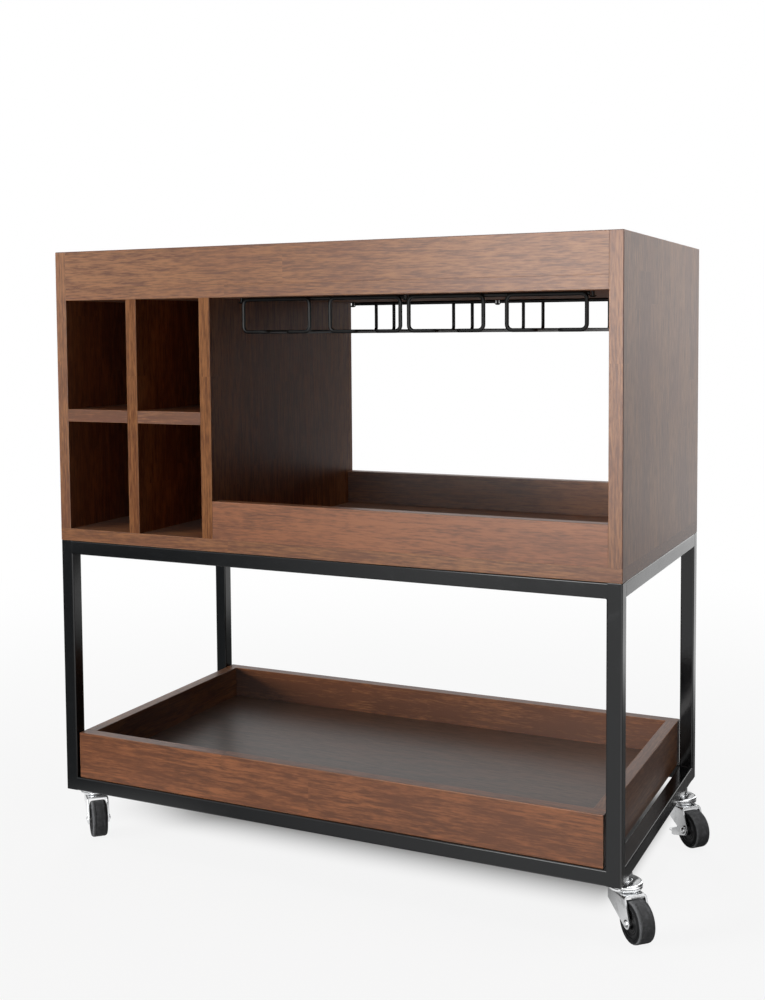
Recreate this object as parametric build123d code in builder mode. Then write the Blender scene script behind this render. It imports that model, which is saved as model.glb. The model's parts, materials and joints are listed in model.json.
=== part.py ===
from build123d import *
import os

# Wine trolley: a stained wooden case with cubbies and hanging wire racks, on a square-tube frame
# with a low tray and four swivel casters. Millimetres, +Z up, front towards -Y, origin on the
# floor under the middle of the case.

# Case of boards
case_width = 800.0
case_depth = 412.0
board = 17.0
board_ease = 0.8
cubby_width = 100.0
cubby_height = 150.0
rim_height = 50.0
lip_height = 50.0
back_sheet = 9.0
lap_clearance = 0.15

# Dowels in the case joints
dowel_diameter = 8.0
dowel_length = 30.0
dowel_seat = 10.0
dowel_clearance = 0.1
dowel_inset = 56.0
dowel_count = 3

# Steel frame
tube = 19.0
tube_wall = 1.5
tube_corner = 2.0
frame_height = 356.0

# Tray on the bottom rails
tray_height = 64.0
tray_side_gap = 3.0
tray_setback = 3.0

# Wood screws
screw_diameter = 4.0
screw_head_diameter = 9.0
screw_head_height = 2.6
screw_crown_diameter = 6.0
screw_bite = 12.0
screw_clearance = 0.1
screw_access = 11.0
screw_offset = 260.0

# Wire racks hung under the top
wire = 5.0
wire_bend = 7.0
slot_pitch = 30.0
rack_drop = 45.0
rack_left_margin = 30.0
rack_right_margin = 36.0
channel_gap = 30.0
unit_gap = 11.5
rack_front_setback = 36.0
rack_back_setback = 42.0

# Threaded caster stem, its nuts and the swivel race
kingpin_inset = 52.0
stem_diameter = 10.0
stem_reach = 11.0
thread_clearance = 0.05
weld_nut_diameter = 14.0
weld_nut_height = 8.0
lock_nut_across = 16.0
lock_nut_height = 8.0
collar_diameter = 18.0
collar_height = 1.5
cup_diameter = 43.0
cup_height = 5.0
cup_wall = 2.0
cup_shoulder = 1.6
cup_fall = 1.0
cup_gap = 0.6
ball_diameter = 4.0
ball_circle = 33.0
ball_count = 4
ball_clearance = 0.15
kingpin_diameter = 8.0
kingpin_head_diameter = 13.0
kingpin_head_height = 3.0
running_clearance = 0.05
swivel_clearance = 0.3

# Caster fork, wheel and axle
wheel_diameter = 50.0
tyre_width = 22.0
tyre_thickness = 8.0
tyre_shoulder = 3.5
tyre_groove = 1.0
hub_width = 24.0
hub_diameter = 13.0
web_width = 18.0
core_rim = 2.5
wheel_clearance = 2.3
hub_clearance = 0.5
trail = 30.0
fork_sheet = 2.5
fork_bend = 4.0
fork_lead = 14.0
fork_reach = 25.0
fork_shoulder = 16.0
fork_eye = 14.0
axle_diameter = 6.0
axle_head_diameter = 9.0
axle_crown_diameter = 6.0
axle_head_height = 2.2

# Brake lever on the back casters, pressed down
lever_sheet = 1.8
lever_clearance = 0.35
lever_eye = 13.0
lever_tread_gap = 1.5
lever_drop = 14.0
lever_web_height = 7.5
lever_web_depth = 6.0
lever_pedal_width = 24.0
lever_pedal_length = 16.0
lever_pedal_corner = 4.0

# Swivel of each caster about its stem, from the trailing wheel pointing to the front
caster_turn = {"front_left": 44.0, "front_right": 44.0, "back_left": -47.0, "back_right": 47.0}

# Levels of one caster, from the underside of the frame down
collar_level = -lock_nut_height
cup_level = collar_level - collar_height
cup_bottom = cup_level - cup_height
ball_level = cup_bottom - cup_gap / 2
race_level = ball_level + ball_diameter / 2 + ball_clearance
track_level = ball_level - ball_diameter / 2 - ball_clearance
fork_level = track_level - cup_wall
plate_level = fork_level - fork_sheet
axle_level = plate_level - wheel_clearance - wheel_diameter / 2
caster_height = wheel_diameter / 2 - axle_level

# Levels of the trolley, from the floor up
frame_bottom = caster_height
tray_bottom = frame_bottom + tube
frame_top = frame_bottom + frame_height
bay_floor = frame_top + board
shelf_bottom = bay_floor + cubby_height
shelf_top = shelf_bottom + board
panel_bottom = shelf_top + cubby_height
panel_top = panel_bottom + board
case_top = panel_top + rim_height

# Places from left to right and from front to back
case_left = -case_width / 2
case_right = case_width / 2
case_front = -case_depth / 2
case_back = case_depth / 2
inner_left = case_left + board
divider_left = inner_left + cubby_width
second_cubby_left = divider_left + board
partition_left = second_cubby_left + cubby_width
bay_left = partition_left + board
bay_right = case_right - board
cubby_back = case_back - back_sheet
rail_x = case_right - tube / 2
rail_y = case_back - tube / 2
dowel_rows = [
    case_front + dowel_inset + i * (case_depth - 2 * dowel_inset) / (dowel_count - 1)
    for i in range(dowel_count)
]
screw_columns = [-screw_offset, screw_offset]

os.makedirs("parts", exist_ok=True)


def save(piece, node):
    """Label one finished piece and write it under its node's name."""
    piece.label = node
    export_step(piece, f"parts/{node}.step")


def plank(low, high):
    """A board between two corners, with its sharp edges taken off."""
    x, y, z = [(near + far) / 2 for near, far in zip(low, high)]
    with Locations((x, y, z)):
        Box(high[0] - low[0], high[1] - low[1], high[2] - low[2])
    chamfer(edges(), board_ease)


def bores(places, direction, radius, depth):
    """Round holes cut from each place along a direction."""
    upward = (Align.CENTER, Align.CENTER, Align.MIN)
    with Locations(*[Plane(origin=place, z_dir=direction) for place in places]):
        Cylinder(radius, depth, align=upward, mode=Mode.SUBTRACT)


def tube_section():
    """The hollow square section of the frame's tube."""
    RectangleRounded(tube, tube, tube_corner)
    Rectangle(tube - 2 * tube_wall, tube - 2 * tube_wall, mode=Mode.SUBTRACT)


def hexagon(across_flats):
    """A hexagon by its size across the flats."""
    RegularPolygon(across_flats / 2, 6, major_radius=False)


# Dowel places: upright ones under each standing board, lying ones into the ends of the top panel
panel_middle = (panel_bottom + panel_top) / 2
upright_columns = [case_left + board / 2, partition_left + board / 2, case_right - board / 2]
upright_dowels = [(x, y, bay_floor) for x in upright_columns for y in dowel_rows]
left_end_dowels = [(inner_left, y, panel_middle) for y in dowel_rows]
right_end_dowels = [(bay_right, y, panel_middle) for y in dowel_rows]
dowel_hole = dowel_diameter / 2 + dowel_clearance
long_seat = dowel_length - dowel_seat + dowel_clearance
short_seat = dowel_seat + dowel_clearance
up, down, to_right, to_left = (0, 0, 1), (0, 0, -1), (1, 0, 0), (-1, 0, 0)

# Screw places: the case to the top rails and the tray to the bottom rails
screw_hole = screw_diameter / 2 + screw_clearance
screw_depth = screw_bite + screw_clearance
rail_screw_places = [(x, y) for x in screw_columns for y in (-rail_y, rail_y)]

# Bottom board, which carries the case on the frame
with BuildPart() as bottom_board:
    plank((case_left, case_front, frame_top), (case_right, case_back, bay_floor))
    bores(upright_dowels, down, dowel_hole, short_seat)
    bores([(x, y, frame_top) for x, y in rail_screw_places], up, screw_hole, screw_depth)
save(bottom_board.part, "bottom_board")

# Side panels, which stand on the bottom board and rise past the top panel as part of its rim
for side, near, far, end_dowels, outward in (
    ("left", case_left, inner_left, left_end_dowels, to_left),
    ("right", bay_right, case_right, right_end_dowels, to_right),
):
    with BuildPart() as side_panel:
        plank((near, case_front, bay_floor), (far, case_back, case_top))
        bores([p for p in upright_dowels if near < p[0] < far], up, dowel_hole, long_seat)
        bores(end_dowels, outward, dowel_hole, short_seat)
    save(side_panel.part, f"{side}_side_panel")

# Hanging racks: two units of two wire channels, spread over the width of the open bay
first_unit_left = bay_left + rack_left_margin
last_unit_right = bay_right - rack_right_margin
channel_width = (last_unit_right - first_unit_left - 2 * channel_gap - unit_gap) / 4
channel_step = channel_width + channel_gap
unit_width = channel_step + channel_width
second_unit_left = first_unit_left + unit_width + unit_gap
rack_front = case_front + rack_front_setback
rack_back = case_back - rack_back_setback
rail_level = panel_bottom - rack_drop
bar_level = panel_bottom - wire / 2
bar_rows = [rack_front + wire, rack_back]
rack_screw_columns = [
    first_unit_left - unit_gap / 2,
    second_unit_left - unit_gap / 2,
    last_unit_right + unit_gap / 2,
]
rack_screw_places = [(x, y, panel_bottom) for x in rack_screw_columns for y in bar_rows]

# Top panel between the sides, with the racks screwed up under it
with BuildPart() as top_panel:
    plank((inner_left, case_front, panel_bottom), (bay_right, case_back, panel_top))
    bores(left_end_dowels, to_right, dowel_hole, long_seat)
    bores(right_end_dowels, to_left, dowel_hole, long_seat)
    bores(rack_screw_places, up, screw_hole, screw_depth)
save(top_panel.part, "top_panel")

# Rims along the front and back of the top panel, and lips along the floor of the open bay
for node, left, front, low, high in (
    ("front_rim", inner_left, case_front, panel_top, case_top),
    ("back_rim", inner_left, case_back - board, panel_top, case_top),
    ("front_lip", bay_left, case_front, bay_floor, bay_floor + lip_height),
    ("back_lip", bay_left, case_back - board, bay_floor, bay_floor + lip_height),
):
    with BuildPart() as strip:
        plank((left, front, low), (bay_right, front + board, high))
    save(strip.part, node)

# Partition between the cubbies and the open bay
with BuildPart() as partition:
    plank((partition_left, case_front, bay_floor), (bay_left, case_back, panel_bottom))
    bores([p for p in upright_dowels if partition_left < p[0] < bay_left], up, dowel_hole, long_seat)
save(partition.part, "cubby_partition")

# Divider and shelf of the cubbies, crossed by a halving joint at the middle of their depth
lap_middle = (case_front + cubby_back) / 2
lap_width = board + 2 * lap_clearance
with BuildPart() as divider:
    plank((divider_left, case_front, bay_floor), (second_cubby_left, cubby_back, panel_bottom))
    with BuildSketch(Plane.YZ.offset(divider_left)):
        with Locations((lap_middle, (shelf_bottom + shelf_top) / 2)):
            Rectangle(case_depth, lap_width, align=(Align.MIN, Align.CENTER))
    extrude(amount=board, mode=Mode.SUBTRACT)
save(divider.part, "cubby_divider")

with BuildPart() as shelf:
    plank((inner_left, case_front, shelf_bottom), (partition_left, cubby_back, shelf_top))
    with BuildSketch(Plane.XY.offset(shelf_bottom)):
        with Locations((divider_left + board / 2, lap_middle)):
            Rectangle(lap_width, case_depth, align=(Align.CENTER, Align.MAX))
    extrude(amount=board, mode=Mode.SUBTRACT)
save(shelf.part, "cubby_shelf")

# Thin panel that closes the cubbies at the back
with BuildPart() as back_panel:
    plank((inner_left, cubby_back, bay_floor), (partition_left, case_back, panel_bottom))
save(back_panel.part, "cubby_back_panel")

# Dowels, each with a short seat in one board and a long one in the next
with BuildPart() as dowels:
    for places, way in ((upright_dowels, up), (left_end_dowels, to_right), (right_end_dowels, to_left)):
        for place in places:
            with BuildSketch(Plane(origin=place, z_dir=way).offset(-dowel_seat)):
                Circle(dowel_diameter / 2)
            extrude(amount=dowel_length)
save(dowels.part, "case_dowels")

# Rack wires: each is bent from one length into a channel with a slot between its two rails
channel_lefts = [
    unit_left + i * channel_step for unit_left in (first_unit_left, second_unit_left) for i in range(2)
]
for number, channel_left in enumerate(channel_lefts, start=1):
    middle = channel_left + channel_width / 2
    slot_left = middle - slot_pitch / 2
    left_half = [
        (slot_left, rack_back, panel_bottom - wire),
        (slot_left, rack_back, rail_level),
        (slot_left, rack_front, rail_level),
        (channel_left, rack_front, rail_level),
        (channel_left, rack_front, bar_level),
    ]
    right_half = [(2 * middle - x, y, z) for x, y, z in reversed(left_half)]
    with BuildPart() as rack_wire:
        with BuildLine() as bends:
            FilletPolyline(*left_half, *right_half, radius=wire_bend)
        with BuildSketch(Plane(origin=bends.line @ 0, z_dir=bends.line % 0)):
            Circle(wire / 2)
        sweep()
    save(rack_wire.part, f"rack_wire_{number}")

# Straight bars that join the wires in pairs, front and back
with BuildPart() as rack_bars:
    for unit_left in (first_unit_left, second_unit_left):
        for row in bar_rows:
            with BuildSketch(Plane.YZ.offset(unit_left - wire / 2)):
                with Locations((row, bar_level)):
                    Circle(wire / 2)
            extrude(amount=unit_width + wire)
save(rack_bars.part, "rack_cross_bars")


def screw(place, grip):
    """A pan-head wood screw driven up at a place, with its head a grip below the wood."""
    with Locations(Plane(origin=place).offset(-grip)):
        Cylinder(screw_diameter / 2, grip + screw_bite, align=(Align.CENTER, Align.CENTER, Align.MIN))
        Cone(
            screw_crown_diameter / 2,
            screw_head_diameter / 2,
            screw_head_height,
            align=(Align.CENTER, Align.CENTER, Align.MAX),
        )


# Screws under the racks, and inside the rails under the case and the tray
for node, places, grip in (
    ("rack_screws", rack_screw_places, wire),
    ("case_screws", [(x, y, frame_top) for x, y in rail_screw_places], tube_wall),
    ("tray_screws", [(x, y, tray_bottom) for x, y in rail_screw_places], tube_wall),
):
    with BuildPart() as screws:
        for place in places:
            screw(place, grip)
    save(screws.part, node)

# Corner posts of the frame, closed at both ends
for end, y in (("front", -rail_y), ("back", rail_y)):
    for side, x in (("left", -rail_x), ("right", rail_x)):
        with BuildPart() as post:
            with BuildSketch(Plane.XY.offset(frame_bottom)):
                with Locations((x, y)):
                    RectangleRounded(tube, tube, tube_corner)
            extrude(amount=frame_height)
            with BuildSketch(Plane.XY.offset(frame_bottom + tube_wall)):
                with Locations((x, y)):
                    Rectangle(tube - 2 * tube_wall, tube - 2 * tube_wall)
            extrude(amount=frame_height - 2 * tube_wall, mode=Mode.SUBTRACT)
        save(post.part, f"{end}_{side}_post")

# Rails between the posts: each screw goes up through a wide hole below its narrow one, and the caster
# stems enter the bottom rails from below
kingpin_y = case_back - kingpin_inset
for level, z in (("bottom", frame_bottom + tube / 2), ("top", frame_top - tube / 2)):
    for end, y in (("front", -rail_y), ("back", rail_y)):
        with BuildPart() as cross_rail:
            with BuildSketch(Plane.YZ.offset(case_left + tube)):
                with Locations((y, z)):
                    tube_section()
            extrude(amount=case_width - 2 * tube)
            bores([(x, y, z - tube / 2) for x in screw_columns], up, screw_access / 2, tube_wall)
            bores([(x, y, z + tube / 2) for x in screw_columns], down, screw_hole, tube_wall)
        save(cross_rail.part, f"{level}_{end}_rail")
    for side, x in (("left", -rail_x), ("right", rail_x)):
        with BuildPart() as side_rail:
            with BuildSketch(Plane.XZ.offset(-case_back + tube)):
                with Locations((x, z)):
                    tube_section()
            extrude(amount=case_depth - 2 * tube)
            if level == "bottom":
                stem_places = [(x, y, frame_bottom) for y in (-kingpin_y, kingpin_y)]
                bores(stem_places, up, stem_diameter / 2 + thread_clearance, tube_wall)
        save(side_rail.part, f"{level}_{side}_rail")

# Tray of four boards round a floor, standing on the bottom rails
tray_right = case_right - tube - tray_side_gap
tray_back = case_back - tray_setback
tray_top = tray_bottom + tray_height
for end, front, y in (("front", -tray_back, -rail_y), ("back", tray_back - board, rail_y)):
    with BuildPart() as long_board:
        plank((-tray_right, front, tray_bottom), (tray_right, front + board, tray_top))
        bores([(x, y, tray_bottom) for x in screw_columns], up, screw_hole, screw_depth)
    save(long_board.part, f"tray_{end}_board")

for node, left, right, high in (
    ("tray_left_board", -tray_right, -tray_right + board, tray_top),
    ("tray_right_board", tray_right - board, tray_right, tray_top),
    ("tray_floor", -tray_right + board, tray_right - board, tray_bottom + board),
):
    with BuildPart() as short_board:
        plank((left, -tray_back + board, tray_bottom), (right, tray_back - board, high))
    save(short_board.part, node)

# One caster is drawn about its stem, with its wheel trailing towards -Y, and copied to its places
caster_places = {
    f"{end}_{side}": Location((x, y, frame_bottom), (0, 0, caster_turn[f"{end}_{side}"]))
    for end, y in (("front", -kingpin_y), ("back", kingpin_y))
    for side, x in (("left", -rail_x), ("right", rail_x))
}
cup_radius = cup_diameter / 2
wheel_radius = wheel_diameter / 2
hub_half = hub_width / 2
fork_inside = hub_half + hub_clearance
fork_outside = fork_inside + fork_sheet
axle_hole = axle_diameter / 2 + running_clearance
wheel_plane = Plane(origin=(0, -trail, axle_level), x_dir=(1, 0, 0), z_dir=(0, -1, 0))
wheel_axis = Axis((0, -trail, axle_level), (1, 0, 0))


def save_group(piece, node):
    """Write the four casters' copies of a piece as one node."""
    with BuildPart() as group:
        for place in caster_places.values():
            add(piece.moved(place))
    save(group.part, node)


# Stem: a threaded end, the upper cup of the race and the kingpin with its riveted head
with BuildPart() as stem:
    with BuildSketch(Plane.XZ):
        with BuildLine():
            Polyline(
                (0, stem_reach),
                (stem_diameter / 2, stem_reach),
                (stem_diameter / 2, collar_level),
                (collar_diameter / 2, collar_level),
                (collar_diameter / 2, cup_level),
                (cup_radius - cup_shoulder, cup_level - cup_fall),
                (cup_radius, cup_level - cup_fall - cup_shoulder),
                (cup_radius, cup_bottom),
                (cup_radius - cup_wall, cup_bottom),
                (cup_radius - cup_wall, race_level),
                (kingpin_diameter / 2, race_level),
                (kingpin_diameter / 2, plate_level - swivel_clearance),
                (kingpin_head_diameter / 2, plate_level - swivel_clearance),
                (kingpin_head_diameter / 2, plate_level - swivel_clearance - kingpin_head_height),
                (0, plate_level - swivel_clearance - kingpin_head_height),
                close=True,
            )
        make_face()
    revolve(axis=Axis.Z)
save_group(stem.part, "caster_stems")

# Nuts on the stem: one welded inside the rail and one locking it from below
with BuildPart() as weld_nut:
    with BuildSketch(Plane.XY.offset(tube_wall)):
        Circle(weld_nut_diameter / 2)
        Circle(stem_diameter / 2 + thread_clearance, mode=Mode.SUBTRACT)
    extrude(amount=weld_nut_height)
save_group(weld_nut.part, "caster_weld_nuts")

with BuildPart() as lock_nut:
    with BuildSketch(Plane.XY):
        hexagon(lock_nut_across)
        Circle(stem_diameter / 2 + thread_clearance, mode=Mode.SUBTRACT)
    extrude(amount=-lock_nut_height)
save_group(lock_nut.part, "caster_lock_nuts")

# Balls of the swivel race
with BuildPart() as race_balls:
    with Locations((0, 0, ball_level)):
        with PolarLocations(ball_circle / 2, ball_count):
            Sphere(ball_diameter / 2)
save_group(race_balls.part, "caster_race_balls")

# Fork: a sheet bent over the wheel, with the lower cup of the race on top
with BuildPart() as fork:
    with BuildSketch(Plane.XZ):
        with Locations((0, fork_level)):
            Rectangle(2 * fork_outside, wheel_diameter, align=(Align.CENTER, Align.MAX))
        fillet(vertices().group_by(Axis.Y)[-1], fork_bend)
    extrude(amount=trail + wheel_diameter, both=True)
    with BuildSketch(Plane.XZ):
        with Locations((0, plate_level)):
            Rectangle(2 * fork_inside, wheel_diameter, align=(Align.CENTER, Align.MAX))
        fillet(vertices().group_by(Axis.Y)[-1], fork_bend - fork_sheet)
    extrude(amount=trail + wheel_diameter, both=True, mode=Mode.SUBTRACT)
    with BuildSketch(Plane.YZ):
        with Locations((-trail, axle_level)):
            Circle(fork_eye / 2)
        with Locations((fork_lead, fork_level)):
            Rectangle(fork_lead + fork_reach, fork_shoulder, align=(Align.MAX, Align.MAX))
        make_hull()
    extrude(amount=fork_outside, both=True, mode=Mode.INTERSECT)
    with BuildSketch(Plane.XZ):
        with BuildLine():
            Polyline(
                (0, fork_level),
                (cup_radius - cup_shoulder, fork_level),
                (cup_radius, fork_level + cup_shoulder),
                (cup_radius, cup_bottom - cup_gap),
                (cup_radius - cup_wall, cup_bottom - cup_gap),
                (cup_radius - cup_wall, track_level),
                (0, track_level),
                close=True,
            )
        make_face()
    revolve(axis=Axis.Z)
    bores([(0, 0, plate_level)], up, kingpin_diameter / 2 + running_clearance, fork_sheet + cup_wall)
    bores([(-fork_outside, -trail, axle_level)], to_right, axle_hole, 2 * fork_outside)


def axle(grip):
    """A pin across a caster, riveted over into a low round head a grip from the middle at both ends."""
    half = [
        (grip + axle_head_height, 0),
        (grip + axle_head_height, axle_crown_diameter / 2),
        (grip, axle_head_diameter / 2),
        (grip, axle_diameter / 2),
    ]
    with BuildPart() as pin:
        with BuildSketch(wheel_plane):
            with BuildLine():
                Polyline(*half, *[(-x, r) for x, r in reversed(half)], close=True)
            make_face()
        revolve(axis=wheel_axis)
    return pin.part


# Wheel core: a hub on the axle, a web and a rim under the tyre
rim_radius = wheel_radius - tyre_thickness
core_half = [
    (hub_half, axle_hole),
    (hub_half, hub_diameter / 2),
    (web_width / 2, hub_diameter / 2),
    (web_width / 2, rim_radius - core_rim),
    (tyre_width / 2 - tyre_groove, rim_radius - core_rim),
    (tyre_width / 2 - tyre_groove, rim_radius),
]
with BuildPart() as wheel_core:
    with BuildSketch(wheel_plane):
        with BuildLine():
            Polyline(*core_half, *[(-x, r) for x, r in reversed(core_half)], close=True)
        make_face()
    revolve(axis=wheel_axis)

# Tyre with round shoulders and a moulded groove round each side
groove_radius = rim_radius + tyre_thickness / 2 - tyre_groove / 2
tyre_half = [
    (tyre_width / 2, rim_radius),
    (tyre_width / 2, groove_radius - tyre_groove),
    (tyre_width / 2 - tyre_groove, groove_radius),
    (tyre_width / 2, groove_radius + tyre_groove),
    (tyre_width / 2, wheel_radius),
]
with BuildPart() as tyre:
    with BuildSketch(wheel_plane):
        with BuildLine():
            Polyline(*tyre_half, *[(-x, r) for x, r in reversed(tyre_half)], close=True)
        make_face()
        fillet(vertices().group_by(Axis.Y)[-1], tyre_shoulder)
    revolve(axis=wheel_axis)

# Brake lever: a pedal behind the tread on two ears that turn on the axle
ear_inside = fork_outside + lever_clearance
ear_outside = ear_inside + lever_sheet
pedal_near = -trail + wheel_radius + lever_tread_gap
pedal_far = pedal_near + lever_sheet
pedal_bottom = axle_level - lever_drop
with BuildPart() as lever:
    with BuildSketch(Plane.XY.offset(axle_level)):
        with Locations((0, pedal_far)):
            Rectangle(2 * ear_outside, trail + wheel_diameter, align=(Align.CENTER, Align.MAX))
        with Locations((0, pedal_near)):
            Rectangle(
                2 * ear_inside, trail + wheel_diameter, align=(Align.CENTER, Align.MAX), mode=Mode.SUBTRACT
            )
    extrude(amount=wheel_diameter, both=True)
    with BuildSketch(Plane.YZ):
        with Locations((-trail, axle_level)):
            Circle(lever_eye / 2)
        with Locations((pedal_far, pedal_bottom)):
            Rectangle(lever_web_depth, lever_web_height, align=(Align.MAX, Align.MIN))
        make_hull()
    extrude(amount=ear_outside, both=True, mode=Mode.INTERSECT)
    with BuildSketch(Plane.XY.offset(pedal_bottom)):
        with Locations((0, pedal_near)):
            Rectangle(lever_pedal_width, lever_pedal_length, align=(Align.CENTER, Align.MIN))
        fillet(vertices().group_by(Axis.Y)[-1], lever_pedal_corner)
    extrude(amount=lever_sheet)
    bores([(-ear_outside, -trail, axle_level)], to_right, axle_hole, 2 * ear_outside)

# The moving pieces of each caster, with a brake on the back ones
for corner, place in caster_places.items():
    braked = corner.startswith("back")
    grip = ear_outside + lever_clearance if braked else fork_outside
    save(fork.part.moved(place), f"{corner}_fork")
    save(axle(grip).moved(place), f"{corner}_axle")
    save(wheel_core.part.moved(place), f"{corner}_wheel_core")
    save(tyre.part.moved(place), f"{corner}_tyre")
    if braked:
        save(lever.part.moved(place), f"{corner}_brake_lever")
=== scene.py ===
# %% [markdown]
# # A wine trolley, dressed for its picture
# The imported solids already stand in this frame, in metres, with +Z up and the front towards -Y. They
# are never moved: each step below either models a finer piece in the same place or gives a solid a
# better finish. Loading comes first, because the pieces take their places from the frame.

# %% Load the frame
import json
from math import pi, radians

import bpy
from mathutils import Matrix, Vector


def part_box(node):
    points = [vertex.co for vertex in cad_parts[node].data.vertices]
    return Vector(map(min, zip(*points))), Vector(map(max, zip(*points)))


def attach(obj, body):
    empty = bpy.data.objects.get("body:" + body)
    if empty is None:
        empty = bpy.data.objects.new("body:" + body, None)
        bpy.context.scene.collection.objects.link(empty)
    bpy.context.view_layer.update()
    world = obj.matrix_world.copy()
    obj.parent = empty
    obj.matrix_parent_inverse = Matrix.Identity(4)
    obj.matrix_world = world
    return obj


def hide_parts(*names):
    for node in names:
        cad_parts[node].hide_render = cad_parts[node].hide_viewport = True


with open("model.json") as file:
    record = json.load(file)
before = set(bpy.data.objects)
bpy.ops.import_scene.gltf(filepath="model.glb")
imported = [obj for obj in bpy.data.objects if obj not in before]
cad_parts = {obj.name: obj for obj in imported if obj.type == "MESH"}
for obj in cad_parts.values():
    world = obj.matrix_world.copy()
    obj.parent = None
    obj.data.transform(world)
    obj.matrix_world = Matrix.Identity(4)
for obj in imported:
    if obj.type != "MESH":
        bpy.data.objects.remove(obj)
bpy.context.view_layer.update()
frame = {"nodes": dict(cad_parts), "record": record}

MM = 0.001

# %% [markdown]
# ## The camera
# The picture was taken with a normal lens from the right of the trolley, a little above the middle of
# its height and tilted slightly down. The picture is cropped unevenly above and below, and a small
# vertical shift says that without changing the perspective. The lens is given by its focal length in
# pixels, so that it doesn't depend on the size at which the scene is drawn.

# %% Camera
PICTURE_HEIGHT = 1000
FOCAL_PIXELS = 1280.0
CENTRE_ABOVE_MIDDLE = 89.6
SENSOR = 36.0
EYE = Vector((0.7703, -1.6232, 0.71805))
TURN_LEFT, TILT_DOWN, ROLL = radians(25.32), radians(3.52), radians(-0.41)

bpy.ops.object.select_all(action="DESELECT")
bpy.ops.object.camera_add(location=EYE)
camera = bpy.context.object
aim = Matrix.Rotation(TURN_LEFT, 3, "Z") @ Matrix.Rotation(pi / 2 - TILT_DOWN, 3, "X")
camera.rotation_euler = (aim @ Matrix.Rotation(ROLL, 3, "Z")).to_euler()
camera.data.sensor_fit = "VERTICAL"
camera.data.sensor_height = SENSOR
camera.data.lens = SENSOR * FOCAL_PIXELS / PICTURE_HEIGHT
camera.data.shift_y = -CENTRE_ABOVE_MIDDLE / PICTURE_HEIGHT
bpy.context.scene.camera = camera
print("lens", round(camera.data.lens, 2), "mm")

# %% [markdown]
# ## A way to write finishes
# A finish is a network of nodes, and maths drawn as nodes is hard to read. Three small classes let it be
# written as plain sums. The first is a Signal, one output of a node: adding or multiplying Signals draws
# the Math nodes.

# %% Signals
class Signal:
    """One output of a network's nodes, with arithmetic that draws Math nodes."""

    def __init__(self, network, socket):
        self.network = network
        self.socket = socket

    def __add__(self, other):
        return self.network.maths("ADD", self, other)

    def __sub__(self, other):
        return self.network.maths("SUBTRACT", self, other)

    def __rsub__(self, other):
        return self.network.maths("SUBTRACT", other, self)

    def __mul__(self, other):
        return self.network.maths("MULTIPLY", self, other)

    def __truediv__(self, other):
        return self.network.maths("DIVIDE", self, other)

    def __rtruediv__(self, other):
        return self.network.maths("DIVIDE", other, self)

    __radd__ = __add__
    __rmul__ = __mul__


# %% [markdown]
# A Network holds the nodes of a material or of the world. One method adds any kind of node, and the
# others are short names for the kinds that are used again and again.

# %% Networks
class Network:
    """The nodes of a material or of the world, drawn one by one."""

    def __init__(self, tree):
        self.tree = tree
        self.nodes = tree.nodes

    def feed(self, socket, value):
        """Link a Signal to a socket, or set a plain value on it."""
        if isinstance(value, Signal):
            self.tree.links.new(value.socket, socket)
        else:
            socket.default_value = value

    def node(self, kind, settings, sockets, output=0):
        """Add a node: its settings first, then what its sockets hold or are linked to."""
        node = self.nodes.new(kind)
        for setting, value in settings.items():
            setattr(node, setting, value)
        for socket, value in sockets.items():
            self.feed(node.inputs[socket], value)
        return Signal(self, node.outputs[output])

    def maths(self, operation, first, second=0.0):
        return self.node("ShaderNodeMath", {"operation": operation}, {0: first, 1: second})

    def ease(self, value, low, high):
        """A smooth step from 0 at low to 1 at high. Where high is below low, the step falls."""
        return self.node(
            "ShaderNodeMapRange",
            {"interpolation_type": "SMOOTHSTEP"},
            {"Value": value, "From Min": low, "From Max": high},
        )

    def between(self, value, rise, fall):
        """1 between two soft edges, each given as the places where it is 0 and 1."""
        return self.ease(value, *rise) * self.ease(value, *fall)

    def split(self, kind):
        """The three numbers of a texture coordinate."""
        place = self.node("ShaderNodeTexCoord", {}, {}, kind)
        return [self.node("ShaderNodeSeparateXYZ", {}, {0: place}, axis) for axis in "XYZ"]

    def ray(self, kind):
        """1 where the ray that looks is of a kind, such as Is Camera Ray."""
        return self.node("ShaderNodeLightPath", {}, {}, kind)

    def joined(self, x, y, z):
        return self.node("ShaderNodeCombineXYZ", {}, {0: x, 1: y, 2: z})

    def noise(self, where, scale=1.0, detail=2.0, roughness=0.5):
        sockets = {"Vector": where, "Scale": scale, "Detail": detail, "Roughness": roughness}
        return self.node("ShaderNodeTexNoise", {}, sockets)

    def chances(self, x, y, z):
        """Three random numbers that stay the same for the same x, y and z."""
        colour = self.node("ShaderNodeTexWhiteNoise", {}, {"Vector": self.joined(x, y, z)}, "Color")
        return [self.node("ShaderNodeSeparateColor", {}, {0: colour}, i) for i in range(3)]

    def blend(self, factor, first, second):
        """A colour between two others, on the sockets of a Mix node that hold colours."""
        return self.node("ShaderNodeMix", {"data_type": "RGBA"}, {0: factor, 6: first, 7: second}, 2)

    def mark(self, name):
        """An attribute of the piece."""
        return self.node("ShaderNodeAttribute", {"attribute_name": name}, {}, "Fac")


# %% [markdown]
# A Finish is the network of one material. What is the same all over a surface is set on the shader when
# the Finish is made, and what changes from place to place is fed to it at the end.

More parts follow.
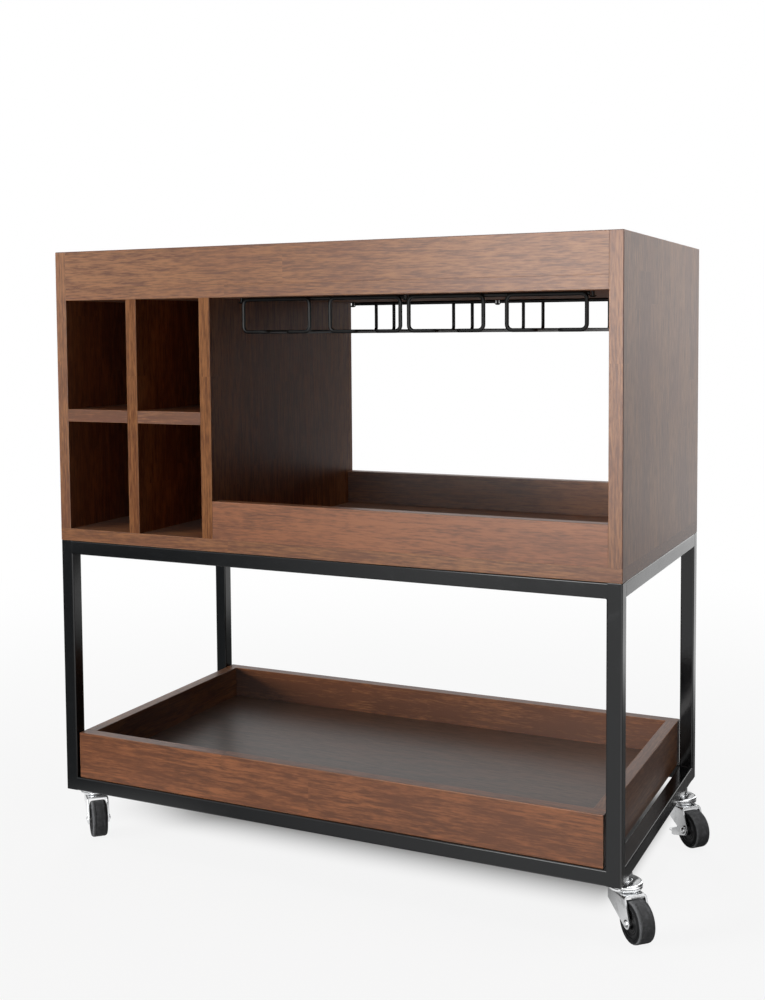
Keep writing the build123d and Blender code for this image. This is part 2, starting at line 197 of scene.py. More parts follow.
# %% Finishes
class Finish(Network):
    """One procedural material."""

    def __init__(self, name, **sockets):
        self.material = bpy.data.materials.new(name)
        self.material.use_nodes = True
        super().__init__(self.material.node_tree)
        self.shader = self.nodes["Principled BSDF"]
        for socket, value in sockets.items():
            self.feed(self.shader.inputs[socket.replace("_", " ")], value)

    def axes(self):
        """The three coordinates of a point on the piece, in metres."""
        return self.split("Object")

    def finish(self, colour, roughness, height, depth):
        """Feed the shader: colour, roughness and a bump of a depth in metres."""
        bump = self.node("ShaderNodeBump", {}, {"Height": height, "Distance": depth})
        self.feed(self.shader.inputs["Base Color"], colour)
        self.feed(self.shader.inputs["Roughness"], roughness)
        self.feed(self.shader.inputs["Normal"], bump)
        return self.material


# %% [markdown]
# ## Stained wood
# The case and the tray are boards glued up from narrow staves, stained a reddish brown under a satin
# varnish. Painting stripes would look wrong on the board ends, so the wood is solid: each stave gets its
# own heart somewhere below the board, faint rings are drawn round that heart, and every face simply cuts
# through them.

# %% Staves and their rings
STAVE_WIDTH = 52 * MM
STAVE_LENGTH = 0.62
RING_PITCH = 4.2 * MM
RING_DRIFT = 16 * MM
HEART_ASIDE, HEART_BELOW, HEART_DEEPER, HEART_LEAN = 0.07, 0.012, 0.07, 0.09


def staves(wood, u, v, w, seed):
    """The tone of the stave that a point lies in, and the rings round its heart as a wave."""
    row = wood.maths("FLOOR", v / STAVE_WIDTH + seed)
    start = wood.chances(row, seed, 0.5)[0]
    run = wood.maths("FLOOR", u / STAVE_LENGTH + start * 5)
    tone, lean, depth = wood.chances(row, run, seed)
    aside = wood.chances(run, row, seed + 0.5)[1]
    heart_v = (row + (0.5 - seed)) * STAVE_WIDTH + (aside - 0.5) * HEART_ASIDE
    drift = wood.noise(wood.joined(u * 2.6, v * 11, w * 11), detail=2)
    from_heart_v = v - heart_v
    from_heart_w = w + (HEART_BELOW + depth * HEART_DEEPER) + u * ((lean - 0.5) * HEART_LEAN)
    radius = wood.maths("SQRT", from_heart_v * from_heart_v + from_heart_w * from_heart_w)
    return tone, wood.maths("SINE", (radius + drift * RING_DRIFT) * (2 * pi / RING_PITCH))


print("staves", STAVE_WIDTH / MM, "mm wide, rings", RING_PITCH / MM, "mm apart")

# %% [markdown]
# Short dark flecks and longer streaks are noise stretched along the grain, and the uneven stain is a
# broader noise. Four marks on the boards are read as well: how deeply a face took the stain, with painted
# shade added on some edges and boards; how red the board is; which free edges are rubbed, so that the stain
# wears lighter there, which also serves as a painted highlight along them; and which faces look into the bay,
# where the varnish is thin and dull. The marks are made with the boards, so that a few finishes serve them
# all: one for each way of the grain, one with less varnish inside the case, and one for the tray's dark
# panel, which is darker partly by its own stain and partly as painted shade under the case.

# %% Wood finishes
PALE_WOOD = (0.285, 0.119, 0.043, 1)
REDDER_WOOD = (0.285, 0.102, 0.039, 1)
DEEP_WOOD = (0.110, 0.037, 0.014, 1)
RED_WOOD = (0.225, 0.072, 0.028, 1)
# Colour of rubbed free edges: wear, and also a painted highlight along them.
WORN_AND_HIGHLIT_WOOD = (0.400, 0.205, 0.115, 1)
# The tray floor's colours: darker partly by its own stain and partly as painted shade under the case.
DARK_PANEL = (0.120, 0.060, 0.033, 1), (0.050, 0.024, 0.013, 1)
FLECKS, FLECK_WEIGHT = (55, 500), 3.0
STREAKS, STREAK_WEIGHT = (15, 190), 1.9
UNEVEN, UNEVEN_WEIGHT = (7, 16), 0.7
RING_WEIGHT, TONE_WEIGHT = 0.14, 0.2
SATIN, DULL_INSIDE = 0.36, 0.34
SHINE, COAT, COAT_ROUGHNESS = 0.5, 0.25, 0.30
GRAIN_DEPTH = 0.03 * MM


def wood_finish(name, along, across, through, seed, pale=PALE_WOOD, deep=DEEP_WOOD, varnish=1.0):
    """Stained wood with its grain along one axis and its staves side by side across another."""
    wood = Finish(
        name, Specular_IOR_Level=SHINE * varnish, Coat_Weight=COAT * varnish, Coat_Roughness=COAT_ROUGHNESS
    )
    axes = wood.axes()
    u, v, w = axes[along], axes[across], axes[through]
    tone, ring = staves(wood, u, v, w, seed)

    def stretched(scales, shift, roughness=0.5):
        """Noise with one scale along the grain and another across it, shifted along it."""
        lengthwise, crosswise = scales
        place = wood.joined(u * lengthwise + shift, v * crosswise, w * crosswise)
        return wood.noise(place, detail=3, roughness=roughness)

    fleck = stretched(FLECKS, tone * 90, roughness=0.6)
    streak = stretched(STREAKS, tone * 50)
    stain = stretched(UNEVEN, seed * 40)
    grain = (fleck - 0.5) * FLECK_WEIGHT + (streak - 0.5) * STREAK_WEIGHT + ring * RING_WEIGHT
    uneven = (tone - 0.5) * TONE_WEIGHT + (stain - 0.5) * UNEVEN_WEIGHT
    # The first mark is the board's stain, with painted shade on some edges and on the tray's back and right
    # boards.
    shade = 0.5 + grain + uneven + wood.mark("stain_and_painted_shade")
    colour = wood.blend(shade, wood.blend(wood.mark("redness"), pale, REDDER_WOOD), deep)
    reddish = tuple((red + dark) / 2 for red, dark in zip(RED_WOOD, deep))
    colour = wood.blend(wood.ease(stain, 0.42, 0.70) * 0.3, colour, reddish)
    # The free edges' lighter colour is wear and also a painted highlight along them.
    worn_and_highlit = wood.mark("worn_and_highlit_edge") * wood.ease(fleck + stain, 0.86, 1.16)
    colour = wood.blend(worn_and_highlit * 0.55, colour, WORN_AND_HIGHLIT_WOOD)
    roughness = SATIN + fleck * 0.10 + worn_and_highlit * 0.10 + wood.mark("inner_face") * DULL_INSIDE
    return wood.finish(colour, roughness, 0 - grain, GRAIN_DEPTH)


X, Y, Z = range(3)
wood_across = wood_finish("wood_grain_across_front", X, Z, Y, 0.31)
wood_flat = wood_finish("wood_grain_flat_boards", X, Y, Z, 0.17)
wood_upright = wood_finish("wood_grain_upright", Z, Y, X, 0.53)
wood_inside = wood_finish("wood_grain_upright_inside", Z, Y, X, 0.47, varnish=0.3)
wood_back = wood_finish("wood_grain_back_panel", Z, X, Y, 0.71)
wood_deep = wood_finish("wood_grain_front_to_back", Y, Z, X, 0.23)
wood_dark = wood_finish("wood_dark_panel", X, Y, Z, 0.87, *DARK_PANEL)
print("wood finishes:", len([m for m in bpy.data.materials if m.name.startswith("wood_")]))

# %% [markdown]
# ## Black paint
# The tube and the wire are powder-coated: a near-black with a fine orange-peel skin that dulls and
# brightens a little from place to place. A flat black would look like a hole in the picture, so three
# noises of different sizes give it the peel, cloudy patches and a trace of dust.

# %% Paint finishes
PEEL, CLOUDS, DUST = 620, 11, 55
PEEL_DEPTH = 0.02 * MM


def black_paint(name, colour, sheen, shine):
    """Powder coat with a fine orange-peel skin and a little dust."""
    paint = Finish(name, Specular_IOR_Level=shine)
    place = paint.joined(*paint.axes())
    peel = paint.noise(place, PEEL, detail=2)
    cloud = paint.noise(place, CLOUDS, detail=4, roughness=0.6)
    dust = paint.ease(paint.noise(place, DUST, detail=5, roughness=0.7), 0.52, 0.80)
    lighter = tuple(c * 2.4 + 0.003 for c in colour[:3]) + (1,)
    skin = paint.blend(dust * 0.35 + (cloud - 0.4) * 0.3, colour, lighter)
    return paint.finish(skin, sheen + (cloud - 0.5) * 0.10 + dust * 0.08, peel, PEEL_DEPTH)


frame_black = black_paint("frame_black_paint", (0.0026, 0.0034, 0.0042, 1), sheen=0.15, shine=0.5)
wire_black = black_paint("wire_black_paint", (0.0035, 0.0035, 0.0036, 1), sheen=0.42, shine=0.22)
print("paints:", frame_black.name, "and", wire_black.name)

# %% [markdown]
# ## Bright metal
# The metal of the casters is bright zinc-chrome with faint polishing streaks, and screws and hidden nuts
# are plain zinc. Both are the same finish with a different colour and sheen: lines of noise that are far
# finer one way than the other, and small dull patches.

# %% Metal finishes
LINES_ALONG, LINES_ACROSS, PATCHES = 240, 1900, 85
LINE_DEPTH = 0.012 * MM


def bright_metal(name, colour, sheen, streak):
    """Plated metal with faint polishing streaks and small dull patches."""
    metal = Finish(name, Metallic=1.0)
    x, y, z = metal.axes()
    lines = metal.noise(metal.joined(x * LINES_ALONG, y * LINES_ALONG, z * LINES_ACROSS), detail=2)
    patch = metal.noise(metal.joined(x, y, z), PATCHES, detail=4, roughness=0.6)
    dull = tuple(c * 0.74 for c in colour[:3]) + (1,)
    skin = metal.blend(metal.ease(patch, 0.46, 0.72), colour, dull)
    return metal.finish(skin, sheen + patch * 0.12 + lines * streak, lines, LINE_DEPTH)


caster_bright = bright_metal("caster_plating", (0.88, 0.89, 0.90, 1), sheen=0.10, streak=0.08)
screw_zinc = bright_metal("screw_zinc", (0.60, 0.60, 0.58, 1), sheen=0.26, streak=0.12)
print("metals:", caster_bright.name, "and", screw_zinc.name)

# %% [markdown]
# ## Rubber, plastic and plain wood
# The wheels are glossy black plastic with rubber tyres, grey and dull where they roll. A mark on the tyre
# says where that is, because the four tyres share one finish and stand in different places. The dowels
# inside the case are bare wood.

# %% Rubber, plastic and dowel finishes
ROLLED_RUBBER = (0.270, 0.274, 0.282, 1)
PALE_DOWEL, DARK_DOWEL = (0.56, 0.40, 0.24, 1), (0.36, 0.23, 0.12, 1)
MOULD_GRAIN, MOULD_DUST = 900, 130
FLUTES_ALONG, FLUTES_ACROSS = 60, 900
FINE_DEPTH = 0.05 * MM


def moulded(name, colour, dusty, sheen, shine):
    """Moulded rubber or plastic with a fine grain and some dust, rubbed pale and dull on a tread."""
    skin = Finish(name, Specular_IOR_Level=shine)
    place = skin.joined(*skin.axes())
    grain = skin.noise(place, MOULD_GRAIN, detail=3)
    dust = skin.ease(skin.noise(place, MOULD_DUST, detail=5, roughness=0.65), 0.42, 0.72)
    rolled = skin.mark("tread") * (0.6 + dust * 0.4)
    paint = skin.blend(rolled, skin.blend(dust, colour, dusty), ROLLED_RUBBER)
    return skin.finish(paint, sheen + dust * 0.12 + grain * 0.08 + rolled * 0.25, grain, FINE_DEPTH)


def bare_wood(name):
    """Pale plain dowels."""
    dowel = Finish(name)
    x, y, z = dowel.axes()
    place = dowel.joined(x * FLUTES_ALONG, y * FLUTES_ACROSS, z * FLUTES_ALONG)
    flutes = dowel.noise(place, detail=3)
    colour = dowel.blend(flutes, PALE_DOWEL, DARK_DOWEL)
    return dowel.finish(colour, 0.6 + flutes * 0.1, flutes, FINE_DEPTH)


tyre_rubber = moulded(
    "tyre_rubber", (0.006, 0.0062, 0.0066, 1), (0.018, 0.0185, 0.0195, 1), sheen=0.55, shine=0.16
)
core_plastic = moulded(
    "core_plastic", (0.007, 0.007, 0.0074, 1), (0.016, 0.016, 0.017, 1), sheen=0.30, shine=0.25
)
dowel_wood = bare_wood("dowel_wood")
print("moulded:", tyre_rubber.name, "and", core_plastic.name, "- bare:", dowel_wood.name)

# %% [markdown]
# ## Modelling helpers
# Everything below is modelled with the operators that the menus of Blender run. They act on whatever is
# selected, so each helper first deselects everything and then takes hold of its own piece. Faces and edges
# are picked by where they are, which keeps working when a size changes.

# %% Taking hold of a piece
PARALLEL = 0.99


def begin():
    """Leave edit mode and deselect everything."""
    if bpy.context.object and bpy.context.object.mode != "OBJECT":
        bpy.ops.object.mode_set(mode="OBJECT")
    bpy.ops.object.select_all(action="DESELECT")


def hold(*pieces):
    """Select some pieces and make the first one active."""
    begin()
    for piece in pieces:
        piece.select_set(True)
    bpy.context.view_layer.objects.active = pieces[0]
    return pieces[0]


def pick(piece, kind, test=lambda points: True):
    """In edit mode, select the faces, edges or vertices whose list of points passes a test."""
    hold(piece)
    bpy.ops.object.mode_set(mode="EDIT")
    bpy.ops.mesh.select_mode(type=kind)
    bpy.ops.mesh.select_all(action="DESELECT")
    bpy.ops.object.mode_set(mode="OBJECT")
    mesh = piece.data
    for element in {"FACE": mesh.polygons, "EDGE": mesh.edges, "VERT": mesh.vertices}[kind]:
        indices = [element.index] if kind == "VERT" else element.vertices
        element.select = test([mesh.vertices[i].co for i in indices])
    bpy.ops.object.mode_set(mode="EDIT")


def along(axis):
    """A test for edges that run along one axis."""
    return lambda points: abs((points[1] - points[0]).normalized()[axis]) > PARALLEL


# %% [markdown]
# A piece starts as a block or a rod. Once it is made, its place is applied to its mesh, so that its object
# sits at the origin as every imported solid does.

# %% Blocks, rods and copies
def settled(piece):
    """Put a piece's place, turn and size into its mesh."""
    bpy.ops.object.transform_apply(location=True, rotation=True, scale=True)
    return piece


def block(name, low, high):
    """A cube stretched between two corners."""
    begin()
    bpy.ops.mesh.primitive_cube_add(size=1, location=(Vector(low) + Vector(high)) / 2)
    piece = bpy.context.object
    piece.name = name
    piece.scale = Vector(high) - Vector(low)
    return settled(piece)


def rod(name, sides, radius, length, place, turn=(0, 0, 0)):
    """A cylinder about a place."""
    begin()
    bpy.ops.mesh.primitive_cylinder_add(
        vertices=sides, radius=radius, depth=length, location=place, rotation=turn
    )
    piece = bpy.context.object
    piece.name = name
    return settled(piece)


def moved(piece, place):
    """Move a piece by a matrix."""
    hold(piece)
    piece.matrix_world = place
    return settled(piece)


def copied(piece, name, place):
    """A copy with its own mesh, moved by a matrix."""
    hold(piece)
    bpy.ops.object.duplicate()
    copy = bpy.context.object
    copy.name = name
    return moved(copy, place)


# %% [markdown]
# Modifiers do what would be slow by hand, and are applied at once. A finished piece is shaded smooth except
# at its sharp edges. Beside a narrow round edge that would bend the light on the wide flat faces too, so
# their normals are weighted by area, which keeps flat faces flat.

# %% Modifiers and finished pieces
SMOOTH_UNDER = radians(35)


def modify(piece, kind, **settings):
    """Add a modifier to a piece, set it and apply it."""
    hold(piece)
    bpy.ops.object.modifier_add(type=kind)
    modifier = piece.modifiers[-1]
    for setting, value in settings.items():
        setattr(modifier, setting, value)
    bpy.ops.object.modifier_apply(modifier=modifier.name)


def carve(piece, tool, operation="DIFFERENCE"):
    """Cut a tool's shape out of a piece, or keep only what lies inside the tool."""
    modify(piece, "BOOLEAN", object=tool, operation=operation)
    bpy.data.objects.remove(tool)


def merged(name, pieces):
    """Join pieces into one object."""
    piece = hold(*pieces)
    bpy.ops.object.join()
    piece.name = name
    return piece


def complete(piece, material, slot, body, *nodes):
    """Shade a modelled piece, give it its finish and let it stand for its solids."""
    hold(piece)
    bpy.ops.object.shade_smooth_by_angle(angle=SMOOTH_UNDER)
    modify(piece, "WEIGHTED_NORMAL", keep_sharp=True)
    piece.data.materials.clear()
    piece.data.materials.append(material)
    if nodes:
        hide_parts(*nodes)
    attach(piece, body)


# %% [markdown]
# Bent wire, bent sheet and round pieces all start as a line. A plane is shrunk to one vertex, which is
# extruded from point to point, and a vertex bevel rounds a corner. Spun about an axis, the line becomes a
# piece as it would come from a lathe.

# %% Lines, and pieces turned from them
TOUCH = 0.01 * MM
SAME_POINT = 0.001 * MM


def chain(name, points):
    """A line of edges through points."""
    begin()
    bpy.ops.mesh.primitive_plane_add(size=MM, location=points[0])
    line = bpy.context.object
    line.name = name
    settled(line)
    pick(line, "VERT")
    bpy.ops.mesh.merge(type="CENTER")
    for start, end in zip(points, points[1:]):
        step = Vector(end) - Vector(start)
        bpy.ops.mesh.extrude_vertices_move(TRANSFORM_OT_translate={"value": step})
    begin()
    return line


def round_corner(line, corner, radius, segments=4):
    """Round one corner of a line."""
    pick(line, "VERT", lambda points: (points[0] - Vector(corner)).length < TOUCH)
    bpy.ops.mesh.bevel(offset=radius, segments=segments, affect="VERTICES")
    begin()


def turned(name, profile, axis="Z", steps=48):
    """Turn a profile about an axis through the origin. Its points, in millimetres, are given along the
    axis and out from it, and a third number is the rounding of that corner."""
    places = [Vector((p[1], 0, p[0]) if axis == "Z" else (p[0], 0, p[1])) * MM for p in profile]
    piece = chain(name, places)
    for place, point in zip(places, profile):
        if len(point) == 3:
            round_corner(piece, place, point[2] * MM)
    pick(piece, "VERT")
    way = (0, 0, 1) if axis == "Z" else (1, 0, 0)
    bpy.ops.mesh.spin(steps=steps, angle=2 * pi, center=(0, 0, 0), axis=way)
    bpy.ops.mesh.select_all(action="SELECT")
    bpy.ops.mesh.remove_doubles(threshold=SAME_POINT)
    bpy.ops.mesh.normals_make_consistent(inside=False)
    begin()
    return piece


# %% [markdown]
# ## Boards
# Every board is planed square, with its grain along one of its sides. Its free edges are eased with a few
# strokes, but where two boards meet flush they are sanded together and only a hairline shows. A single
# bevel would give both the same edge, so first the places are found where a board's neighbours begin and
# end.

# %% Where boards meet
board_grain = {
    "front_rim": wood_across, "back_rim": wood_across, "front_lip": wood_across, "back_lip": wood_across,
    "tray_front_board": wood_across, "tray_back_board": wood_across,
    "bottom_board": wood_flat, "top_panel": wood_flat, "cubby_shelf": wood_flat, "tray_floor": wood_dark,
    "left_side_panel": wood_upright, "right_side_panel": wood_upright,
    "cubby_partition": wood_inside, "cubby_divider": wood_inside, "cubby_back_panel": wood_back,
    "tray_left_board": wood_deep, "tray_right_board": wood_deep,
}
board_box = {node: [Vector(corner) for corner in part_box(node)] for node in board_grain}
NEAR = 0.5 * MM
SHORTEST_STRETCH = 3 * MM


def in_other_board(point, own):
    """Whether a point lies inside any board but one."""
    return any(
        all(low[axis] < point[axis] < high[axis] for axis in (X, Y, Z))
        for node, (low, high) in board_box.items() if node != own
    )


def stretches(own):
    """The planes where a board's neighbours begin and end, each as an axis and a place along it."""
    low, high = board_box[own]
    planes = []
    for node, (start, end) in board_box.items():
        if node == own or any(start[i] > high[i] + NEAR or end[i] < low[i] - NEAR for i in (X, Y, Z)):
            continue
        for axis in (X, Y, Z):
            taken = [low[axis], high[axis]] + [place for other, place in planes if other == axis]
            for place in (start[axis], end[axis]):
                inside = low[axis] < place < high[axis]
                if inside and min(abs(place - other) for other in taken) > SHORTEST_STRETCH:
                    planes.append((axis, place))
    return planes


print("stretches on the bottom board:", len(stretches("bottom_board")))

# %% [markdown]
# Each board is a stretched cube, cut at those places. Every stretch of its edges then gets its own share
# of one bevel: all of it where the edge is free, and a little where it lies flush with another board.

# %% Boards
BOARD_EDGE = 0.9 * MM
FLUSH_SHARE = 0.2
SAME_FACE = 0.5


def board(node):
    """A planed board in a solid's place: its free edges are eased, and those flush with another crisp."""
    plank = block(f"{node}_piece", *board_box[node])
    for axis, place in stretches(node):
        way = Vector([float(i == axis) for i in (X, Y, Z)])
        pick(plank, "FACE")
        bpy.ops.mesh.bisect(plane_co=way * place, plane_no=way)
    begin()
    normals = {}
    for face in plank.data.polygons:
        for key in face.edge_keys:
            normals.setdefault(key, []).append(face.normal.copy())
    shares = plank.data.attributes.new("bevel_weight_edge", "FLOAT", "EDGE")
    for edge in plank.data.edges:
        first, second = normals[edge.key]
        if first.dot(second) < SAME_FACE:
            middle = sum((plank.data.vertices[i].co for i in edge.vertices), Vector()) / 2
            past = (first - second) * NEAR
            flush = in_other_board(middle + past, node) or in_other_board(middle - past, node)
            shares.data[edge.index].value = FLUSH_SHARE if flush else 1.0
    modify(plank, "BEVEL", width=BOARD_EDGE, segments=3, limit_method="WEIGHT", use_clamp_overlap=False)
    return plank


boards = {node: board(node) for node in board_grain}
print("boards:", len(boards), "with", sum(len(plank.data.polygons) for plank in boards.values()), "faces")

# %% [markdown]
# The shelf and the divider of the cubbies cross, so half of each is sawn away, as in an egg crate: the
# divider runs through at the front and the shelf at the back. Each is cut with a block in the place of
# the other.

# %% Halving joint
shelf_low, shelf_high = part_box("cubby_shelf")
divider_low, divider_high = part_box("cubby_divider")
lap_middle = (shelf_low[1] + shelf_high[1]) / 2
PAST = 20 * MM
front_half = block(
    "front_half", (divider_low[0], shelf_low[1] - PAST, shelf_low[2] - PAST),
    (divider_high[0], lap_middle, shelf_high[2] + PAST),
)
back_half = block(
    "back_half", (divider_low[0] - PAST, lap_middle, shelf_low[2]),
    (divider_high[0] + PAST, shelf_high[1] + PAST, shelf_high[2]),
)
carve(boards["cubby_shelf"], front_half)
carve(boards["cubby_divider"], back_half)
print("halved faces:", [len(boards[node].data.polygons) for node in ("cubby_shelf", "cubby_divider")])

# %% [markdown]
# Boards cut from different planks take the stain more or less deeply, and some are redder. The ends of the
# boards drink more of it than their faces. The tray's back and right boards are darker as painted shade
# under the case, and the eased outer edges of the case's front are drawn in the deepest stain as painted
# shade. Elsewhere hands and cloths wear the stain on the free edges first, and that lighter wear also serves
# as a painted highlight along them. Faces that look into the bay are less polished. A finish for each case
# would be a long list, so all this is written down here once for the marks.

# %% How the boards took the stain, and where shade is painted on them
END_GRAIN = 0.4
EDGE_PAINTED_SHADE = 1.2
UP_FRONT, RIGHT_FRONT = Vector((0, -1, 1)), Vector((1, -1, 0))
# Painted shade: the strips of eased edges that face these ways are drawn in the deepest stain.
painted_shade_edges = {
    "front_rim": (UP_FRONT,), "left_side_panel": (UP_FRONT,), "right_side_panel": (UP_FRONT, RIGHT_FRONT),
}
# Besides the boards' own tones, the tray's back and right boards are darker here as painted shade under the
# case.
stain_and_painted_shade = {
    "front_lip": -0.2, "bottom_board": 0.1, "cubby_shelf": 0.5, "cubby_divider": 0.1,
    "tray_front_board": 0.15, "tray_back_board": 0.5, "tray_right_board": 0.3,
}
redness = {"front_lip": 1.0, "tray_front_board": 1.0, "tray_back_board": 0.5}
inner_face = {
    "right_side_panel": Vector((-1, 0, 0)), "bottom_board": Vector((0, 0, 1)),
    "top_panel": Vector((0, 0, -1)),
}
grain_axis = {
    wood_across.name: X, wood_flat.name: X, wood_dark.name: X, wood_upright.name: Z, wood_inside.name: Z,
    wood_back.name: Z, wood_deep.name: Y,
}
print("boards stained apart:", len(stain_and_painted_shade), "and redder:", len(redness))

# %% [markdown]
# The marks are attributes on the faces, which the wood's finish reads. The strips of the wide bevels are
# told from those of the hairlines by how far they lie below the board's faces, and from the faces by
# their slant.

# %% Marks on the boards
WIDE_BEVEL_DEPTH = 0.25 * MM
FACING, FLAT = 0.9, 0.999
ON_A_STRIP = 1.1


def below_faces(point, node):
    """How far a point lies below the two nearest faces of a board, added up."""
    low, high = board_box[node]
    depths = sorted(min(point[axis] - low[axis], high[axis] - point[axis]) for axis in (X, Y, Z))
    return depths[0] + depths[1]


def face_marks(face, node):
    """What one face of a board has of each mark."""
    end_grain = abs(face.normal[grain_axis[board_grain[node].name]]) > FACING
    # A strip on one of those edges gets painted shade.
    dark = any(face.normal.dot(way) > ON_A_STRIP for way in painted_shade_edges.get(node, ()))
    slanted = max(abs(c) for c in face.normal) < FLAT
    return {
        "stain_and_painted_shade": stain_and_painted_shade.get(node, 0.0) + end_grain * END_GRAIN + dark * EDGE_PAINTED_SHADE,
        "redness": redness.get(node, 0.0),
        # Wide bevels of free edges: wear, and a painted highlight.
        "worn_and_highlit_edge": float(slanted and not dark and below_faces(face.center, node) > WIDE_BEVEL_DEPTH),
        "inner_face": float(node in inner_face and face.normal.dot(inner_face[node]) > FACING),
    }


for node, plank in boards.items():
    marks = plank.data.attributes
    for name in ("stain_and_painted_shade", "redness", "worn_and_highlit_edge", "inner_face"):
        marks.new(name, "FLOAT", "FACE")
    for face in plank.data.polygons:
        for name, value in face_marks(face, node).items():
            marks[name].data[face.index].value = value
    complete(plank, board_grain[node], "stained_wood", "trolley", node)
print("marked boards:", len(boards))

# %% [markdown]
# ## Frame
# The frame is welded from square tube, which is rolled from sheet and so has rounded long edges. Each
# post and rail is a block whose long edges get a round bevel of the tube's own corner. The rails reach
# into the round corner of the posts, because the welds there are filled and ground flat.

# %% Posts and rails
TUBE_CORNER = 2.0 * MM
TUBE_END = 0.8 * MM
tube_axis = {f"{end}_{side}_post": Z for end in ("front", "back") for side in ("left", "right")}
for level in ("top", "bottom"):
    tube_axis.update({f"{level}_{end}_rail": X for end in ("front", "back")})
    tube_axis.update({f"{level}_{side}_rail": Y for side in ("left", "right")})


def tube_length(node, axis):
    """One length of tube, with its long edges rolled round and its ends just broken."""
    low, high = [Vector(corner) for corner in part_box(node)]
    if axis != Z:
        low[axis] -= TUBE_CORNER
        high[axis] += TUBE_CORNER
    length = block(f"{node}_piece", low, high)
    pick(length, "EDGE", along(axis))
    bpy.ops.mesh.bevel(offset=TUBE_CORNER, segments=5, affect="EDGES")
    modify(length, "BEVEL", width=TUBE_END, segments=2, limit_method="ANGLE", angle_limit=radians(50))
    return length


for node, axis in tube_axis.items():
    complete(tube_length(node, axis), frame_black, "black_frame", "trolley", node)
print("tubes:", len(tube_axis))

# %% [markdown]
# Inside the frame the welds are left as small beads. A weld bead is a row of small overlapping drops, and
# one is made by extruding the end of a short rod again and again while swelling and pinching it.

# %% One weld bead
BEAD_RADIUS = 1.1 * MM
BEAD_SIDES, BEAD_STEPS = 10, 9
BEAD_STEP = 1.4 * MM
BEAD_PINCH, BEAD_SWELL = 0.7, 1.35

bead = rod("bead", BEAD_SIDES, BEAD_RADIUS * BEAD_PINCH, BEAD_STEP, (0, 0, -BEAD_STEP * BEAD_STEPS / 2))
for step in range(BEAD_STEPS):
    top = max(vertex.co.z for vertex in bead.data.vertices)
    pick(bead, "FACE", lambda points: min(p.z for p in points) > top - TOUCH)
    bpy.ops.mesh.extrude_region_move(TRANSFORM_OT_translate={"value": (0, 0, BEAD_STEP)})
    swell = BEAD_SWELL if step % 2 == 0 else 1 / BEAD_SWELL
    bpy.ops.transform.resize(value=(swell, swell, 1))
    begin()
print("bead faces:", len(bead.data.polygons))

# %% [markdown]
# The bead is copied into every inner corner of the frame, where two rails and a post meet: one lies along
# each rail's end, and one stands between the rails. Modelling each by hand would give 24 different beads,
# and nobody would see the difference.

# %% Weld beads in the corners
post_low, post_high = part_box("front_right_post")
inner_x, inner_y = post_low[0], post_high[1]
tube_mid_x, tube_mid_y = (post_low[0] + post_high[0]) / 2, (post_low[1] + post_high[1]) / 2
half_tube = (post_high[0] - post_low[0]) / 2
rail_under, rail_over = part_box("top_front_rail")[0][2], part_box("bottom_front_rail")[1][2]
lying_x = Matrix.Rotation(pi / 2, 4, "Y")
lying_y = Matrix.Rotation(pi / 2, 4, "X")
beads = []
for sign_x in (-1, 1):
    for sign_y in (-1, 1):
        for seam, middle in ((rail_under, rail_under + half_tube), (rail_over, rail_over - half_tube)):
            for place, turn in (
                ((sign_x * inner_x, -sign_y * tube_mid_y, seam), lying_y),
                ((sign_x * tube_mid_x, -sign_y * inner_y, seam), lying_x),
                ((sign_x * inner_x, -sign_y * inner_y, middle), Matrix.Identity(4)),
            ):
                beads.append(copied(bead, "bead_copy", Matrix.Translation(place) @ turn))
bpy.data.objects.remove(bead)
complete(merged("frame_welds", beads), frame_black, "black_frame", "trolley")
print("weld beads:", len(beads))

# %% [markdown]
# ## Wire racks
# Each rack is one wire bent eight times. A line is drawn through the bends, its corners are rounded to
# the bending radius, and turning it into a curve gives it the thickness of the wire. It is made once and
# copied three times to the side.

# %% Bent wires
WIRE_RADIUS = 2.5 * MM
WIRE_BEND, BEND_STEPS = 7.0 * MM, 6
SLOT_HALF = 15.0 * MM
wire_low, wire_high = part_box("rack_wire_1")
left, front, rail = [c + WIRE_RADIUS for c in wire_low]
right, back, bar = [c - WIRE_RADIUS for c in wire_high]
slot_left = (left + right) / 2 - SLOT_HALF
half = [
    (slot_left, back, bar - WIRE_RADIUS), (slot_left, back, rail), (slot_left, front, rail),
    (left, front, rail), (left, front, bar),
]
bends = half + [(left + right - x, y, z) for x, y, z in reversed(half)]
wire = chain("rack_wire_1_piece", bends)
for corner in bends[1:-1]:
    round_corner(wire, corner, WIRE_BEND, BEND_STEPS)
hold(wire)
bpy.ops.object.convert(target="CURVE")
wire = bpy.context.object
wire.data.bevel_depth = WIRE_RADIUS
wire.data.bevel_resolution = 3
wire.data.use_fill_caps = True
bpy.ops.object.convert(target="MESH")
wire = bpy.context.object
wires = [wire]
for number in (2, 3, 4):
    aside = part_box(f"rack_wire_{number}")[0][0] - wire_low[0]
    wires.append(copied(wire, f"rack_wire_{number}_piece", Matrix.Translation((aside, 0, 0))))
for number, piece in enumerate(wires, start=1):
    complete(piece, wire_black, "black_wire", "trolley", f"rack_wire_{number}")
print("rack wires:", len(wires), "with", len(wire.data.polygons), "faces each")

# %% [markdown]
# Straight bars join the racks in pairs under the top panel. Each is a rod with its cut ends broken by a
# small bevel, because a sharp disc would look sawn off a moment ago.

# %% Cross bars
LYING_ALONG_X = (0, pi / 2, 0)
BAR_SIDES = 24
CUT_END = 0.5 * MM


def break_ends(piece):
    """Bevel both ends of a rod that lies along X."""
    pick(piece, "EDGE", lambda points: abs((points[1] - points[0]).x) < TOUCH)
    bpy.ops.mesh.bevel(offset=CUT_END, segments=2, affect="EDGES")
    return piece


